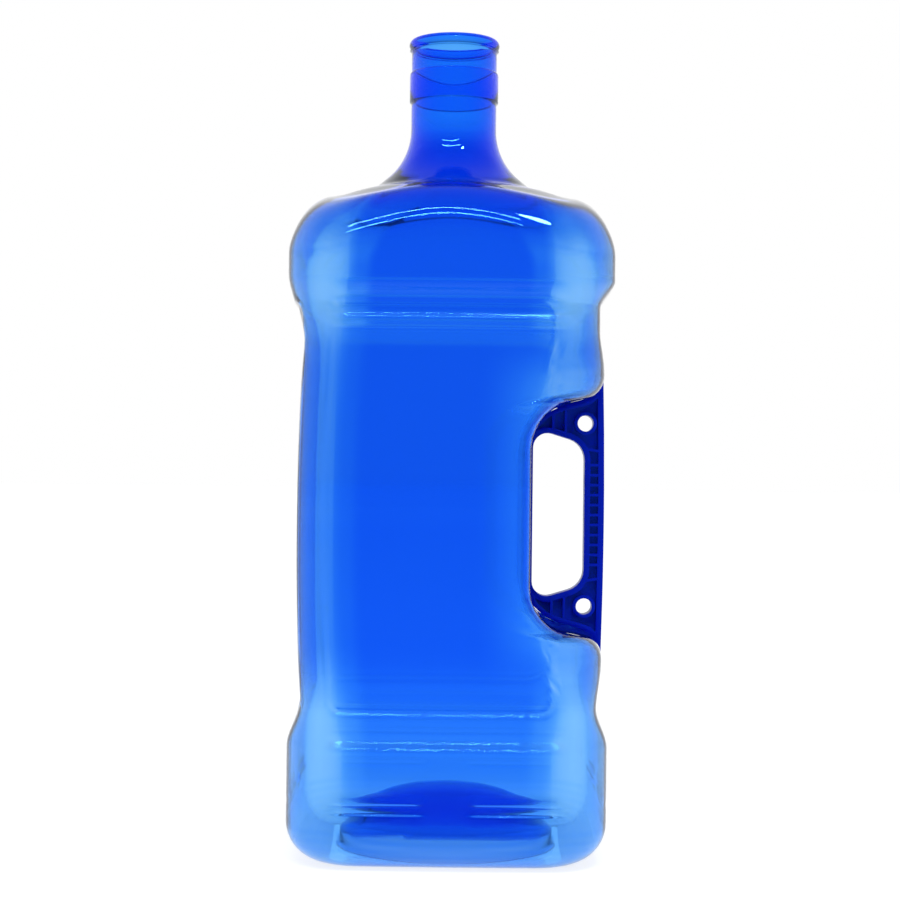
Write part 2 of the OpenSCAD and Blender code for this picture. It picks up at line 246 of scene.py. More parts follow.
class JugColours(bpy.types.PropertyGroup):
    bottle_tint: bpy.props.FloatVectorProperty(
        name="Bottle tint",
        description="Light that a thick piece of the bottle's plastic lets through",
        default=linear("51D3FE"), min=0, max=1, size=3, subtype="COLOR",
    )
    # the tint map lowers this tint on the ridge, the step over it and beside the notch, as painted light
    thick_tint: bpy.props.FloatVectorProperty(
        name="Thick tint",
        description="Further tint of the panels, where the wall is thickest",
        default=linear("88BCF6"), min=0, max=1, size=3, subtype="COLOR",
    )
    tint_density: bpy.props.FloatProperty(
        name="Tint density",
        description="How strongly each metre of the bottle's plastic absorbs light",
        default=1150.0, min=100, max=5000,
    )
    gloss_tint: bpy.props.FloatVectorProperty(
        name="Gloss tint",
        description="Colour of what the plastics reflect head on",
        default=linear("4090FF"), min=0, max=1, size=3, subtype="COLOR",
    )
    insert_colour: bpy.props.FloatVectorProperty(
        name="Insert",
        description="Colour of the handle insert's plastic",
        default=linear("020C9C"), min=0, max=1, size=3, subtype="COLOR",
    )
    floor_colour: bpy.props.FloatVectorProperty(
        name="Floor",
        description="Colour that the studio floor glows in",
        default=linear("F8FAFC"), min=0, max=1, size=3, subtype="COLOR",
    )


# ---------------------------------------------------------------- materials


def add_node(tree, kind, sockets=None, **settings):
    """Adds a shader node: sockets gives inputs a value or a link, settings are its properties."""
    node = tree.nodes.new(kind)
    for name, value in settings.items():
        setattr(node, name, value)
    for key, value in (sockets or {}).items():
        if isinstance(value, bpy.types.NodeSocket):
            tree.links.new(value, node.inputs[key])
        else:
            node.inputs[key].default_value = value
    return node


def empty_material(name):
    material = bpy.data.materials.new(name)
    material.use_nodes = True
    material.node_tree.nodes.clear()
    return material, material.node_tree


def opaque(colour):
    return (*colour, 1)


def blown_copolyester(colours):
    """Clear blue copolyester, stretch blow moulded: glossy, paler where thin and, as painted light, on the
    ridge, the step over it and beside the notch; faintly wavy.
    """
    material, tree = empty_material("copolyester_blue_blow_moulded")
    place = add_node(tree, "ShaderNodeTexCoord").outputs["Object"]
    # waves about 35 mm long, as the mould and the chilled plastic leave them
    waves = add_node(
        tree, "ShaderNodeTexNoise", {"Vector": place, "Scale": 28.0, "Detail": 1.5, "Roughness": 0.4})
    bump = add_node(
        tree, "ShaderNodeBump", {"Height": waves.outputs["Fac"], "Strength": 0.06, "Distance": 0.0012})
    # the tint attribute carries the wall's thickness and, on the ridge, the step and beside the notch,
    # painted light
    thickness = add_node(tree, "ShaderNodeAttribute", attribute_name="tint")
    tone = add_node(
        tree, "ShaderNodeMix",
        {0: thickness.outputs["Fac"], 6: (1, 1, 1, 1), 7: opaque(colours.thick_tint)}, data_type="RGBA")
    side = add_node(tree, "ShaderNodeAttribute", attribute_name="inside")
    # the mould polishes the outside, and the inside is left as it was blown
    finish = add_node(
        tree, "ShaderNodeMapRange", {"Value": side.outputs["Fac"], "To Min": 0.02, "To Max": 0.05})
    plastic = add_node(tree, "ShaderNodeBsdfPrincipled", {
        "Base Color": tone.outputs[2],
        "Normal": bump.outputs["Normal"],
        "Transmission Weight": 1.0,
        "Roughness": finish.outputs["Result"],
        "IOR": 1.57,
        "Specular Tint": opaque(colours.gloss_tint),
    })
    tint = add_node(tree, "ShaderNodeVolumeAbsorption", {
        "Color": opaque(colours.bottle_tint), "Density": colours.tint_density})
    add_node(tree, "ShaderNodeOutputMaterial", {
        "Surface": plastic.outputs["BSDF"], "Volume": tint.outputs["Volume"]})
    return material


def moulded_polypropylene(colours):
    """Opaque dark blue polypropylene, injection moulded: satin, with a fine spark-eroded grain."""
    material, tree = empty_material("polypropylene_dark_blue_moulded")
    place = add_node(tree, "ShaderNodeTexCoord").outputs["Object"]
    # grain of 0.45 mm, and cloudy patches of gloss about 17 mm wide
    grain = add_node(
        tree, "ShaderNodeTexNoise", {"Vector": place, "Scale": 2200.0, "Detail": 2.0, "Roughness": 0.55})
    cloud = add_node(
        tree, "ShaderNodeTexNoise", {"Vector": place, "Scale": 60.0, "Detail": 3.0, "Roughness": 0.5})
    gloss = add_node(tree, "ShaderNodeMapRange", {
        "Value": cloud.outputs["Fac"], "From Min": 0.3, "From Max": 0.7, "To Min": 0.24, "To Max": 0.36})
    bump = add_node(
        tree, "ShaderNodeBump", {"Height": grain.outputs["Fac"], "Strength": 0.15, "Distance": 0.0002})
    plastic = add_node(tree, "ShaderNodeBsdfPrincipled", {
        "Base Color": opaque(colours.insert_colour),
        "Normal": bump.outputs["Normal"],
        "Roughness": gloss.outputs["Result"],
        "IOR": 1.49,
        "Specular IOR Level": 0.35,
        "Specular Tint": opaque(colours.gloss_tint),
    })
    add_node(tree, "ShaderNodeOutputMaterial", {"Surface": plastic.outputs["BSDF"]})
    return material


def opal_table(colours):
    """Opal acrylic light table, matt: it glows softly from below."""
    material, tree = empty_material("opal_acrylic_table_matt")
    opal = add_node(tree, "ShaderNodeBsdfPrincipled", {
        "Base Color": OPAL, "Roughness": 0.9, "Specular IOR Level": 0.1,
        "Emission Color": opaque(colours.floor_colour), "Emission Strength": OPAL_GLOW})
    add_node(tree, "ShaderNodeOutputMaterial", {"Surface": opal.outputs["BSDF"]})
    return material


# ---------------------------------------------------------------- form of the bottle


def barrel(z):
    """Half width of a face between the drums: widest half way up the waist."""
    t = min(max((z - WAIST_LOW) / (WAIST_HIGH - WAIST_LOW), 0), 1)
    return WAIST_HALF - WAIST_BARREL * (2 * t - 1) ** 2


def between_drums(z, base, waist, shoulder, low, high):
    """A value that runs from the base drum's to the waist's to the shoulder's."""
    return (
        waist + (base - waist) * (1 - ramp(z, BASE_RUN_LOW, WAIST_LOW))
        + (shoulder - waist) * ramp(z, low, high)
    )


def notch_points():
    """Heights of the notch's outline from the handle's middle, and the outline's arcs."""
    arm = math.pi / 2 - NOTCH_SLOPE
    inner_end = (FLOOR_X + NOTCH_INNER * (1 - math.cos(arm)), NOTCH_STRAIGHT + NOTCH_INNER * math.sin(arm))
    outer_x = WAIST_HALF - NOTCH_OUTER * (1 - math.sin(NOTCH_SLOPE))
    outer_start = (outer_x, inner_end[1] + (outer_x - inner_end[0]) * math.tan(NOTCH_SLOPE))
    heights = (
        [NOTCH_STRAIGHT * t for t in (0.35, 0.7, 0.9, 1)]
        + [NOTCH_STRAIGHT + NOTCH_INNER * math.sin(arm * t) for t in steps(0.1, 1, 10)]
        + [mix(inner_end[1], outer_start[1], t) for t in (0.25, 0.5, 0.75, 1)]
        + [NOTCH_HALF - NOTCH_OUTER * math.sin(arm * t) for t in steps(0.88, 0, 9)]
    )
    return heights, inner_end, outer_start


NOTCH_HEIGHTS, NOTCH_INNER_END, NOTCH_OUTER_START = notch_points()


def notch_x(d):
    """How far from the axis the bottle reaches at a height d from the handle's middle."""
    if d <= NOTCH_STRAIGHT:
        return FLOOR_X
    if d <= NOTCH_INNER_END[1]:
        return FLOOR_X + NOTCH_INNER - math.sqrt(NOTCH_INNER**2 - (d - NOTCH_STRAIGHT) ** 2)
    if d <= NOTCH_OUTER_START[1]:
        return NOTCH_INNER_END[0] + (d - NOTCH_INNER_END[1]) / math.tan(NOTCH_SLOPE)
    if d < NOTCH_HALF:
        return WAIST_HALF - NOTCH_OUTER + math.sqrt(NOTCH_OUTER**2 - (NOTCH_HALF - d) ** 2)
    return WAIST_HALF


def level(z):
    """One level of the sides: its half widths, corner radii and bows."""
    d = abs(z - HANDLE_Z)
    fade = 1 - ramp(d, NOTCH_HALF, NOTCH_HALF + SCOOP_FADE)
    full = between_drums(z, BASE_HALF, barrel(z), SHOULDER_HALF, STEP_LOW, STEP_HIGH)
    soft = between_drums(z, BASE_HALF, barrel(z), SHOULDER_HALF, SOFT_STEP_LOW, SOFT_STEP_HIGH)
    right = notch_x(d) if d < NOTCH_HALF else mix(full, max(full, WAIST_HALF), fade)
    corner = between_drums(z, BASE_CORNER, WAIST_CORNER, SHOULDER_CORNER, SOFT_STEP_LOW, SOFT_STEP_HIGH)
    scoop = mix(SCOOP_CORNER, NOTCH_EDGE, (WAIST_HALF - right) / (WAIST_HALF - FLOOR_X))
    bow = between_drums(z, BASE_BOW, WAIST_BOW, SHOULDER_BOW, STEP_LOW, STEP_HIGH)
    return {
        "z": z, "left": soft, "right": right, "depth": full,
        "left_corner": corner, "right_corner": mix(corner, scoop, fade),
        "bow": bow, "right_bow": bow * ramp(right, WAIST_HALF - 18, WAIST_HALF), "square": 1.0,
    }


def even_level(z, half, corner=0.0, bow=0.0, square=0.0):
    """A level that is the same on all four sides; square 0 is a circle."""
    return {
        "z": z, "left": half, "right": half, "depth": half, "left_corner": corner or half / 2,
        "right_corner": corner or half / 2, "bow": bow, "right_bow": bow, "square": square,
    }


def corner_arc(side, depth, radius, side_bow, depth_bow):
    """Centre, first and last angle of the round that meets two bowed sides with no kink."""
    side_curve, depth_curve = side_bow / BOW_SPAN**2, depth_bow / BOW_SPAN**2
    end_x, end_y = side - radius, depth - radius
    for _ in range(8):
        first, last = math.atan(2 * side_curve * end_y), math.atan(2 * depth_curve * end_x)
        end_x, end_y = (
            side - side_curve * end_y**2 - radius * (math.cos(first) - math.sin(last)),
            depth - depth_curve * end_x**2 - radius * (math.cos(last) - math.sin(first)),
        )
    centre = (end_x - radius * math.sin(last), end_y - radius * math.sin(first))
    return centre, first, math.pi / 2 - last, (end_x, end_y)


def side_places(count, half=False):
    """Places along a side from -1 to 1 (or 0 to 1), closer together towards its ends."""
    places = [t / count if half else 2 * t / count - 1 for t in range(1, count)]
    return [(t + math.sin(math.pi / 2 * t)) / 2 for t in places]


def square_outline(l):
    """The outline of one level, from the middle of the +X side round by +Y."""
    right_c, first_r, last_r, end_r = corner_arc(
        l["right"], l["depth"], l["right_corner"], l["right_bow"], l["bow"])
    left_c, first_l, last_l, end_l = corner_arc(
        l["left"], l["depth"], l["left_corner"], l["bow"], l["bow"])
    right_curve, curve = l["right_bow"] / BOW_SPAN**2, l["bow"] / BOW_SPAN**2
    points = [(l["right"], 0.0)]
    for t in side_places(RIGHT_HALF_COLUMNS, half=True):
        y = t * end_r[1]
        points.append((l["right"] - right_curve * y * y, y))
    for a in steps(first_r, last_r, CORNER_COLUMNS + 1):
        points.append((right_c[0] + l["right_corner"] * math.cos(a),
                       right_c[1] + l["right_corner"] * math.sin(a)))
    for t in side_places(SIDE_COLUMNS):
        x = -mix(-end_r[0], end_l[0], (t + 1) / 2)
        points.append((x, l["depth"] - curve * x * x))
    for a in steps(last_l, first_l, CORNER_COLUMNS + 1):
        points.append((-left_c[0] - l["left_corner"] * math.cos(a),
                       left_c[1] + l["left_corner"] * math.sin(a)))
    for t in side_places(SIDE_COLUMNS)[: SIDE_COLUMNS // 2 - 1]:
        y = -t * end_l[1]
        points.append((-l["left"] + curve * y * y, y))
    points.append((-l["left"], 0.0))
    lower = [(x, -y) for x, y in points[1:-1]]
    return points + lower[::-1]


def outline_array(l, circle):
    """A level's outline as an array of points, blended from a circle as the level's square says."""
    square = np.array(square_outline(l))
    flat = mix(circle * l["depth"], square, l["square"])
    return np.column_stack([flat, np.full(len(flat), l["z"])])


def arc_levels(low, high, count, place):
    """Even levels, each with what place says of it at steps from low to high."""
    return [even_level(*place(a)) for a in steps(low, high, count)]


def dome_levels():
    """The underside, from near the dome's top out to the ring that the jug stands on."""
    rise, reach = DOME_HEIGHT - DOME_EDGE, DOME_RADIUS - DOME_EDGE
    dome = [
        even_level(DOME_EDGE + rise * math.cos(a), reach * math.sin(a))
        for a in steps(0.08, math.pi / 2, 16)
    ]
    edge = [
        even_level(DOME_EDGE * (1 - math.sin(a)), DOME_RADIUS - DOME_EDGE * math.cos(a))
        for a in steps(0.3, math.pi / 2, 5)
    ]
    start = BASE_HALF - BASE_EDGE
    corner = BASE_CORNER - BASE_EDGE * EDGE_CORNER_SHARE
    return dome + edge + [even_level(0, mix(DOME_RADIUS, start, 0.5), corner, BASE_BOW, 0.5)]


def edge_levels():
    """The round from the ring the jug stands on to the sides."""
    def place(a):
        inset = BASE_EDGE * (1 - math.sin(a))
        corner = BASE_CORNER - inset * EDGE_CORNER_SHARE
        return BASE_EDGE * (1 - math.cos(a)), BASE_HALF - inset, corner, BASE_BOW, 1

    return arc_levels(0, math.pi / 2, 16, place)


def side_heights():
    """Heights of the levels up the sides, close together where the form or its details turn."""
    above = [HANDLE_Z + d for d in NOTCH_HEIGHTS]
    notch = [2 * HANDLE_Z - z for z in above[::-1]] + [HANDLE_Z] + above
    return (
        steps(27, 30.5, 2) + steps(32.6, 40.2, 20) + [42.5] + steps(46, 64, 4) + steps(66, 83, 22)
        + steps(84, 97, 18) + steps(100, 112, 3) + notch + steps(289, 303, 3) + steps(305, 337, 38)
        + steps(339, 354, 5)
    )


def shoulder_levels():
    """The round over the shoulder, the deck and the sweep up to the neck."""
    reach = SWEEP * (1 - math.cos(SWEEP_END)) + SWEEP_LINE * math.sin(SWEEP_END) + FOOT * (
        math.cos(SWEEP_END) - math.cos(DECK_SLOPE))
    foot_half = NECK + reach
    round_top = DECK - (SHOULDER_HALF - ROUND_WIDTH - foot_half) / math.tan(DECK_SLOPE)
    span = SHOULDER_HALF - foot_half

    def squareness(half):
        return 1 - (1 - (half - foot_half) / span) ** 2.5

    def rounded(a):
        inset = ROUND_WIDTH * (1 - math.cos(a))
        half = SHOULDER_HALF - inset
        return (round_top - ROUND_HEIGHT * (1 - math.sin(a)), half,
                SHOULDER_CORNER - inset * ROUND_CORNER_SHARE, SHOULDER_BOW, squareness(half))

    def deck(t):
        half = mix(SHOULDER_HALF - ROUND_WIDTH, foot_half, t)
        return (mix(round_top, DECK, t), half, mix(SHOULDER_CORNER - 9, half / 2, t),
                SHOULDER_BOW * (1 - t), squareness(half))

    def foot(a):
        return (DECK + FOOT * (math.sin(DECK_SLOPE) - math.sin(a)),
                foot_half - FOOT * (math.cos(a) - math.cos(DECK_SLOPE)))

    sweep_top = DECK + SWEEP * math.sin(SWEEP_END) + SWEEP_LINE * math.cos(SWEEP_END) + FOOT * (
        math.sin(DECK_SLOPE) - math.sin(SWEEP_END))

    def sweep(a):
        return sweep_top - SWEEP * math.sin(a), NECK + SWEEP * (1 - math.cos(a))

    levels = (
        arc_levels(0, math.pi / 2 * 0.96, 22, rounded) + arc_levels(0.15, 0.85, 4, deck)
        + arc_levels(DECK_SLOPE, SWEEP_END, 5, foot) + arc_levels(SWEEP_END, 0, 14, sweep)
    )
    return levels, sweep_top


def neck_levels(sweep_top):
    """The neck tube, the cap band and the bead, up to the middle of the rim's top."""
    band_top = RIM - BAND_DROP
    band_low = band_top - BAND_HEIGHT
    bead_low = RIM - BEAD_HEIGHT
    places = [(NECK, z) for z in steps(sweep_top + 2 * BAND_GAP, band_low - 1.5, 3)]
    for sign, z in ((1, band_low), (-1, band_top)):
        turn = [(NECK + BAND_BLEND * (1 - math.cos(a)), z - sign * BAND_BLEND * (1 - math.sin(a)))
                for a in steps(0, math.pi / 2, 3)]
        rise = [(BAND - BAND_EDGE * (1 - math.sin(a)), z + sign * BAND_EDGE * (1 - math.cos(a)))
                for a in steps(0, math.pi / 2, 4)]
        places += (turn + rise)[::sign]
    places += [(NECK, z) for z in steps(band_top + BAND_GAP, bead_low - 1.8, 3)]
    places += [(NECK + BEAD_BLEND * (1 - math.cos(a)), bead_low - BEAD_BLEND * (1 - math.sin(a)) + BEAD_FLAT)
               for a in steps(0.4, math.pi / 2, 3)]
    half = (BEAD_HEIGHT - BEAD_FLAT) / 2
    places += [(BEAD - BEAD_ROUND + BEAD_ROUND * math.sin(a), RIM - half - half * math.cos(a))
               for a in steps(0.35, math.pi - 0.2, 13)]
    places += [(BORE + LIP - LIP * math.sin(a), RIM - LIP * (1 - math.cos(a)))
               for a in steps(0, math.pi / 2, 5)]
    return [even_level(z, r) for r, z in places]


def side_share():
    """For each column, how near it is to a corner: 1 in a corner's middle, 0 along most of a side."""
    share = []
    half_corner = CORNER_COLUMNS / 2
    middles = [
        RIGHT_HALF_COLUMNS + half_corner,
        RIGHT_HALF_COLUMNS + CORNER_COLUMNS + SIDE_COLUMNS + half_corner,
    ]
    middles += [COLUMNS - m for m in middles]
    for j in range(COLUMNS):
        off = min(abs(j - m) for m in middles)
        share.append(1 - ramp(off, half_corner * CORNER_CORE, half_corner + CORNER_FADE))
    return np.array(share)


def slab(u, z, centre_u, centre_z, half_u, half_z, radius, edge):
    """1 inside a rounded slab seen face on and 0 outside, over an edge of the given width."""
    du = np.abs(u - centre_u) - (half_u - radius)
    dz = np.abs(z - centre_z) - (half_z - radius)
    outside = np.hypot(np.maximum(du, 0), np.maximum(dz, 0)) + np.minimum(np.maximum(du, dz), 0)
    t = np.clip((radius - outside) / edge + 0.5, 0, 1)
    return t * t * (3 - 2 * t)


def smooth_ramp(value, low, high):
    t = np.clip((value - low) / (high - low), 0, 1)
    return t * t * (3 - 2 * t)


def face_details(u, z, right, sizes, blur, stepped=True):
    """How far a face with a panel stands in (or out, below 0) at a place u across it and z up it.

    right is how far the bottle reaches towards the handle there, blur softens every edge, and
    stepped says whether the face has the steps, the ridge and the crease as well as the panel.
    """
    panel = slab(u, z, *PANEL_MIDDLE, *PANEL_HALF, PANEL_ROUND, PANEL_EDGE + 2 * blur)
    recess = sizes.panel_recess / MM * panel
    recess = recess * (1 - smooth_ramp(u, *(right - gap for gap in PANEL_TO_NOTCH)))
    if not stepped:
        return recess
    across = 1 - smooth_ramp(np.abs(u), *STEPS_ACROSS)
    # the step at the top of the panel: a slope between two sharp turns, and a ridge under it
    run = SHOULDER_HALF - barrel(STEP_LOW)
    sill = smooth_ramp(z, SILL_LOW - blur, SILL_HIGH + blur)
    top = run * (smooth_ramp(z, STEP_LOW, STEP_HIGH) - sill)
    ridge = -sizes.ridge_height / MM * bump(z, RIDGE_Z, RIDGE_REACH + blur)
    # the step at its bottom: the panel's edge, a land with a crease in it, and the base drum's round
    run = BASE_HALF - barrel(WAIST_LOW)
    fall = (
        LAND * (1 - smooth_ramp(z, LAND_HEIGHTS[0] - blur, LAND_HEIGHTS[1] + blur))
        + (run - LAND) * (1 - smooth_ramp(z, LAND_FALL[0] - blur, LAND_FALL[1] + blur))
    )
    crease = CREASE * bump(z, CREASE_Z, CREASE_REACH + blur)
    bottom = run * (1 - smooth_ramp(z, BASE_RUN_LOW, WAIST_LOW)) - fall + crease
    return (top * (z > WAIST_HIGH) + ridge + bottom * (z < WAIST_HIGH / 2)) * across + recess


def base_grooves(u, z, sizes, blur):
    """The two short grooves across a face of the base drum."""
    half_u, half_z = GROOVE_HALF
    return sum(
        sizes.groove_depth / MM
        * slab(u, z, side * GROOVE_U, GROOVE_Z, half_u, half_z, half_z, GROOVE_EDGE + 2 * blur)
        for side in (-1, 1)
    )


def bump(value, middle, reach):
    """A smooth hump, 1 at its middle and 0 from reach away."""
    t = np.clip(np.abs(value - middle) / reach, 0, 1)
    return (1 - t * t) ** 2


def wall_skin(points, on_side, right, sizes, blur):
    """The bottle's plain skin with the details of its faces pressed into it."""
    x, y, z = (points[:, :, i] for i in range(3))
    grooves = on_side * (z < GROOVES_BELOW)
    details = points.copy()
    facing = on_side * (np.abs(y) > FACE_FROM) * smooth_ramp(np.abs(y) - np.abs(x), *FACE_BLEND)
    press = face_details(x, z, right, sizes, blur) + base_grooves(x, z, sizes, blur) * grooves
    details[:, :, 1] -= np.sign(y) * press * facing
    # the left face has a panel and grooves, and the right one only grooves
    facing = on_side * smooth_ramp(np.abs(x) - np.abs(y), *FACE_BLEND)
    grooved = base_grooves(y, z, sizes, blur) * grooves
    panelled = face_details(y, z, SHOULDER_HALF * 10, sizes, blur, stepped=False)
    details[:, :, 0] += (panelled + grooved) * facing * (x < -FACE_FROM)
    details[:, :, 0] -= grooved * facing * (x > FACE_FROM)
    return details


def tint_map(points, share):
    """How dark the plastic is drawn: 0 where it is stretched thin, 1 where it is thick, and paler as painted
    light on the ridge, on the step over it and beside the notch.
    """
    x, y, z = (points[:, :, i] for i in range(3))
    radius = np.hypot(x, y)
    # the faces, paler in the base drum, and paler on the ridge and on the step over it as a painted
    # reflection of the bright floor
    dark = (
        mix(BASE_TONE, 1.0, smooth_ramp(z, 70, 110))
        - STEP_PAINTED_HIGHLIGHT * bump(z, RIDGE_Z, 7) - STEP_PAINTED_HIGHLIGHT * bump(z, (SILL_LOW + SILL_HIGH) / 2, 7)
        + SHOULDER_GAIN * smooth_ramp(z, 334, 345)
    )
    waist = smooth_ramp(z, 85, 115) * (1 - smooth_ramp(z, 290, 330))
    dark = mix(dark, mix(CORNER_TONE, WAIST_CORNER_TONE, waist), share)
    # painted light: the faces are drawn paler beside the notch, though the wall there is thick
    beside_notch = 1 - smooth_ramp(np.abs(z - HANDLE_Z), NOTCH_HALF - 10, NOTCH_HALF + 30)
    dark = mix(dark, NOTCH_PAINTED_LIGHT_TONE, beside_notch * smooth_ramp(x, 15, 58))
    # the deck and the dome are thick, and the neck's own thickness is enough to darken it
    dark = mix(dark, 1.0, smooth_ramp(z, DECK - 30, DECK - 8))
    dome = (z < DOME_HEIGHT + 1) * (radius < DOME_RADIUS)
    dark = np.where(dome, mix(1.0, RING_TONE, smooth_ramp(radius, 48, 53)), dark)
    return np.clip(dark * (1 - smooth_ramp(z, RIM - 66, RIM - 48)), 0, 1)


def outward(points, first_below):
    """Unit normals of a grid of points, out of the plastic on its outer side."""
    around = np.roll(points, -1, axis=1) - np.roll(points, 1, axis=1)
    up = np.empty_like(points)
    up[1:-1] = points[2:] - points[:-2]
    up[0] = points[1] - first_below
    up[-1] = points[-1] - points[-2]
    normal = np.cross(around, up)
    return normal / np.linalg.norm(normal, axis=2)[:, :, None]


def bottle_wall(sizes):
    """The whole wall as a grid of points, up the outside, over the rim and down the inside.

    With it come each point's tint, and for each row whether it is on the inside.
    """
    circle_like = np.array(square_outline(even_level(0, 1.0, 0.5)))
    circle = circle_like / np.linalg.norm(circle_like, axis=1)[:, None]
    shoulder, sweep_top = shoulder_levels()
    underside = dome_levels()
    body = underside + edge_levels() + [level(z) for z in side_heights()] + shoulder
    plain = np.array([outline_array(l, circle) for l in body])

    # the deck falls away towards the four corners
    x, y, z = (plain[:, :, i] for i in range(3))
    half = np.array([[l["depth"]] for l in body])
    sag = DECK_SAG * x * x * y * y / (x * x + y * y)
    plain[:, :, 2] -= sag * smooth_ramp(z, *SAG_HEIGHTS) * smooth_ramp(half, *SAG_FROM)

    x, y, z = (plain[:, :, i] for i in range(3))
    on_side = np.array([[l["square"] == 1.0 and l["z"] > 5] for l in body]) * 1.0
    right = np.array([[l["right"]] for l in body])
    outer = wall_skin(plain, on_side, right, sizes, 0)
    # the corners are thin, except beside the notch
    at_waist = smooth_ramp(right, FLOOR_X + 14, WAIST_HALF - 2)
    share = side_share()[None, :] * np.where(x > 0, at_waist, 1)
    radius = np.hypot(x, y)
    wall = mix(sizes.panel_wall, sizes.corner_wall, share) / MM * np.ones_like(z)
    wall = mix(sizes.corner_wall / MM, wall, smooth_ramp(z, *THIN_FOOT))
    is_under = (np.arange(len(body)) < len(underside))[:, None]
    wall = mix(wall, sizes.dome_wall / MM, (1 - smooth_ramp(radius, *DOME_RING)) * is_under)
    at_neck = (1 - smooth_ramp(radius, *NECK_RING)) * (z > DECK - 30)
    wall = mix(wall, NECK - BORE, at_neck)
    inner = wall_skin(plain, on_side, right, sizes, INNER_BLUR)
    inner = inner - wall[:, :, None] * outward(plain, np.array([0, 0, DOME_HEIGHT]))
    inner[-1] = np.column_stack([circle * BORE, np.full(COLUMNS, plain[-1, 0, 2])])

    rim = np.array([outline_array(l, circle) for l in neck_levels(sweep_top)])
    bore_heights = steps(RIM - 3, sweep_top + 2 * BAND_GAP, 6)
    bore = np.array([np.column_stack([circle * BORE, np.full(COLUMNS, h)]) for h in bore_heights])
    tint = tint_map(outer, share)
    tints = [tint, np.zeros(rim.shape[:2]), np.zeros(bore.shape[:2]), tint[::-2]]
    skins = [outer, rim, bore, inner[::-2]]
    inside = np.repeat([False, False, True, True], [len(s) for s in skins])
    return np.concatenate(skins) * MM, np.concatenate(tints), inside


# ---------------------------------------------------------------- modelling helpers


def deselect_all():
    if bpy.context.object and bpy.context.object.mode != "OBJECT":
        bpy.ops.object.mode_set(mode="OBJECT")
    bpy.ops.object.select_all(action="DESELECT")


def select_only(obj):
    deselect_all()
    obj.select_set(True)
    bpy.context.view_layer.objects.active = obj


def vertex_places(mesh):
    places = np.empty(len(mesh.vertices) * 3)
    mesh.vertices.foreach_get("co", places)
    return places.reshape(-1, 3)


def edge_ends(mesh):
    ends = np.empty(len(mesh.edges) * 2, dtype=int)
    mesh.edges.foreach_get("vertices", ends)
    return ends.reshape(-1, 2)


def select_in(mesh, kind, chosen):
    """Selects some of a mesh's vertices, edges or polygons, and nothing else in it."""
    for name in ("vertices", "edges", "polygons"):
        parts = getattr(mesh, name)
        parts.foreach_set("select", chosen if name == kind else np.zeros(len(parts), dtype=bool))


def in_edit_mode(select_by, *calls):
    """Runs mesh operators in edit mode, with the selection read by VERT, EDGE or FACE."""
    bpy.context.tool_settings.mesh_select_mode = [select_by == m for m in ("VERT", "EDGE", "FACE")]
    bpy.ops.object.mode_set(mode="EDIT")
    for call, settings in calls:
        call(**settings)
    bpy.ops.object.mode_set(mode="OBJECT")


def finish_piece(obj, node, material):
    """Places a finished piece on its body, in its CAD node's stead."""
    obj.data.materials.clear()
    obj.data.materials.append(material)
    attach(obj, BODY)
    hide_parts(node)


# ---------------------------------------------------------------- operators


class JUG_OT_bottle(bpy.types.Operator):
    """Blow the bottle: a tube of rings closed at both ends, moulded to the bottle's form"""

    bl_idname = "jug.bottle"
    bl_label = "Bottle"
    bl_options = {"REGISTER", "UNDO"}

    def execute(self, context):
        wall, tint, inside = bottle_wall(context.scene.jug_bottle)
        rings = len(wall)
        deselect_all()
        bpy.ops.mesh.primitive_circle_add(vertices=COLUMNS, radius=1, fill_type="NOTHING")
        bottle = context.object
        bottle.name = "bottle"
        tube = bottle.modifiers.new("tube", "SCREW")
        tube.angle = 0
        tube.screw_offset = rings - 1
        tube.steps = tube.render_steps = rings - 1
        bpy.ops.object.modifier_apply(modifier=tube.name)
        for height in (0, rings - 1):
            at_end = np.abs(vertex_places(bottle.data)[edge_ends(bottle.data), 2] - height) < 0.5
            select_in(bottle.data, "edges", at_end.all(axis=1))
            in_edit_mode("EDGE", (bpy.ops.mesh.edge_face_add, {}), (bpy.ops.mesh.poke, {}))

        places = vertex_places(bottle.data)
        turn = 2 * math.pi / COLUMNS
        ring = np.rint(places[:, 2]).astype(int)
        column = np.rint(np.arctan2(places[:, 1], places[:, 0]) / turn).astype(int) % COLUMNS
        moulded = wall[ring, column]
        middle = np.hypot(places[:, 0], places[:, 1]) < 0.5
        moulded[middle & (ring == 0)] = (0, 0, DOME_HEIGHT * MM)
        moulded[middle & (ring > 0)] = (0, 0, DOME_HEIGHT * MM + context.scene.jug_bottle.dome_wall)
        bottle.data.vertices.foreach_set("co", moulded.ravel())
        bottle.data.update()
        for name, values in (("tint", tint[ring, column]), ("inside", inside[ring].astype(float))):
            bottle.data.attributes.new(name, "FLOAT", "POINT").data.foreach_set("value", values)
        in_edit_mode(
            "FACE",
            (bpy.ops.mesh.select_all, {"action": "SELECT"}),
            (bpy.ops.mesh.normals_make_consistent, {"inside": False}),
        )
        bpy.ops.object.shade_smooth()
        plastic = blown_copolyester(context.scene.jug_colours)
        finish_piece(bottle, BOTTLE_NODE, plastic)
        return {"FINISHED"}


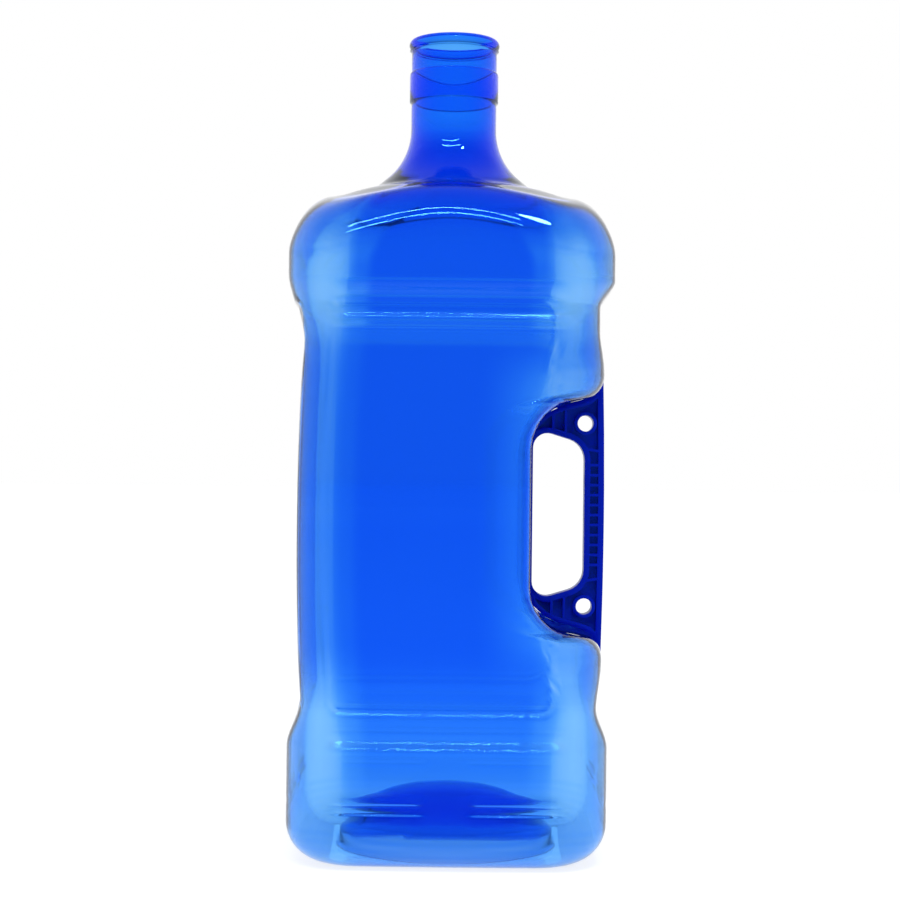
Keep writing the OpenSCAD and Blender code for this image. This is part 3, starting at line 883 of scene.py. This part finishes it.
class JUG_OT_insert(bpy.types.Operator):
    """Mould the handle insert: the CAD insert with its flat faces joined and its edges rounded"""

    bl_idname = "jug.insert"
    bl_label = "Handle insert"
    bl_options = {"REGISTER", "UNDO"}

    def execute(self, context):
        deselect_all()
        source = frame["nodes"][INSERT_NODE]
        insert = source.copy()
        insert.data = source.data.copy()
        insert.name = "handle"
        for key in list(insert.keys()):
            del insert[key]
        context.collection.objects.link(insert)
        select_only(insert)
        in_edit_mode(
            "VERT",
            (bpy.ops.mesh.select_all, {"action": "SELECT"}),
            (bpy.ops.mesh.remove_doubles, {"threshold": 1e-6}),
            (bpy.ops.mesh.dissolve_limited, {"angle_limit": math.radians(0.5)}),
        )
        rounding = insert.modifiers.new("rounding", "BEVEL")
        rounding.width = context.scene.jug_insert.edge_radius
        rounding.segments = 2
        rounding.limit_method = "ANGLE"
        rounding.angle_limit = math.radians(40)
        bpy.ops.object.modifier_apply(modifier=rounding.name)
        bpy.ops.object.shade_smooth_by_angle(angle=math.radians(35))
        plastic = moulded_polypropylene(context.scene.jug_colours)
        finish_piece(insert, INSERT_NODE, plastic)
        return {"FINISHED"}


class JUG_OT_stage(bpy.types.Operator):
    """Set up the glowing pale floor, the soft lights, the white surroundings and the camera"""

    bl_idname = "jug.stage"
    bl_label = "Stage"
    bl_options = {"REGISTER", "UNDO"}

    def execute(self, context):
        scene = context.scene
        deselect_all()
        bpy.ops.mesh.primitive_plane_add(size=FLOOR_SIZE, location=(0, 0, 0))
        floor = context.object
        floor.name = "floor"
        floor.data.materials.append(opal_table(scene.jug_colours))
        self.surroundings(scene)
        self.softbox("key_softbox", **KEY)
        for elevation in STRIP_ELEVATIONS:
            self.softbox("front_strip_%d" % elevation, elevation=elevation, **STRIP)
        self.camera(scene)
        scene.view_settings.view_transform = "Standard"
        return {"FINISHED"}

    def surroundings(self, scene):
        """A room with white walls and a dim ceiling."""
        world = bpy.data.worlds.new("white_room")
        scene.world = world
        world.use_nodes = True
        tree = world.node_tree
        tree.nodes.clear()
        direction = add_node(tree, "ShaderNodeTexCoord").outputs["Generated"]
        height = add_node(tree, "ShaderNodeSeparateXYZ", {"Vector": direction})
        # white walls up to 20 degrees, fading to a dim ceiling from 55 degrees
        brightness = add_node(tree, "ShaderNodeMapRange", {
            "Value": height.outputs["Z"], "From Min": 0.34, "From Max": 0.82,
            "To Min": 1.0, "To Max": CEILING},
            interpolation_type="SMOOTHSTEP")
        room = add_node(
            tree, "ShaderNodeBackground", {"Color": (1, 1, 1, 1), "Strength": brightness.outputs["Result"]})
        add_node(tree, "ShaderNodeOutputWorld", {"Surface": room.outputs["Background"]})
        bpy.ops.object.light_add(type="SUN", location=(0, 0, 3))
        top_light = bpy.context.object
        top_light.name = "top_light"
        top_light.data.energy = TOP_LIGHT
        top_light.data.angle = TOP_LIGHT_ANGLE

    def softbox(self, name, azimuth, elevation, distance, size, power):
        """An area light aimed at the shoulder, seen in gloss but not through the plastic."""
        aim = Vector(AIM)
        a, e = math.radians(azimuth), math.radians(elevation)
        away = Vector((math.sin(a) * math.cos(e), -math.cos(a) * math.cos(e), math.sin(e)))
        bpy.ops.object.light_add(type="AREA", location=aim + away * distance)
        light = bpy.context.object
        light.name = name
        light.data.shape = "RECTANGLE"
        light.data.size, light.data.size_y = size
        light.data.energy = power
        light.rotation_mode = "QUATERNION"
        light.rotation_quaternion = away.to_track_quat("Z", "Y")
        light.visible_transmission = False
        light.visible_camera = False

    def camera(self, scene):
        """Close in front of the -Y face, tilted up a little and leaning a little to one side."""
        ahead = Vector((0, math.cos(CAMERA_TILT), math.sin(CAMERA_TILT)))
        across = Vector((1, 0, 0))
        up = across.cross(ahead)
        lean = Matrix.Rotation(-CAMERA_LEAN, 3, ahead)
        axes = Matrix((lean @ across, lean @ up, -ahead)).transposed()
        place = Vector((0, -CAMERA_AWAY, CAMERA_HEIGHT))
        bpy.ops.object.camera_add(location=place)
        camera = bpy.context.object
        camera.name = "camera"
        camera.matrix_world = Matrix.Translation(place) @ axes.to_4x4()
        camera.data.lens = CAMERA_LENS
        camera.data.sensor_width = CAMERA_SENSOR
        scene.camera = camera


class JUG_PT_panel(bpy.types.Panel):
    """Lists the jug's sizes, colours and building steps"""

    bl_label = "Water Jug"
    bl_idname = "JUG_PT_panel"
    bl_space_type = "VIEW_3D"
    bl_region_type = "UI"
    bl_category = "Water Jug"

    def draw(self, context):
        for group in (context.scene.jug_bottle, context.scene.jug_insert, context.scene.jug_colours):
            box = self.layout.box()
            for name in group.__annotations__:
                box.prop(group, name)
        for operator in OPERATORS:
            self.layout.operator(operator.bl_idname)


OPERATORS = (JUG_OT_bottle, JUG_OT_insert, JUG_OT_stage)
CLASSES = (JugBottleSizes, JugInsertSizes, JugColours, *OPERATORS, JUG_PT_panel)


def register():
    for cls in CLASSES:
        bpy.utils.register_class(cls)
    bpy.types.Scene.jug_bottle = bpy.props.PointerProperty(type=JugBottleSizes)
    bpy.types.Scene.jug_insert = bpy.props.PointerProperty(type=JugInsertSizes)
    bpy.types.Scene.jug_colours = bpy.props.PointerProperty(type=JugColours)


def unregister():
    for name in ("jug_bottle", "jug_insert", "jug_colours"):
        delattr(bpy.types.Scene, name)
    for cls in reversed(CLASSES):
        bpy.utils.unregister_class(cls)


def main():
    register()
    bpy.ops.jug.bottle()
    bpy.ops.jug.insert()
    bpy.ops.jug.stage()


if __name__ == "__main__":
    main()
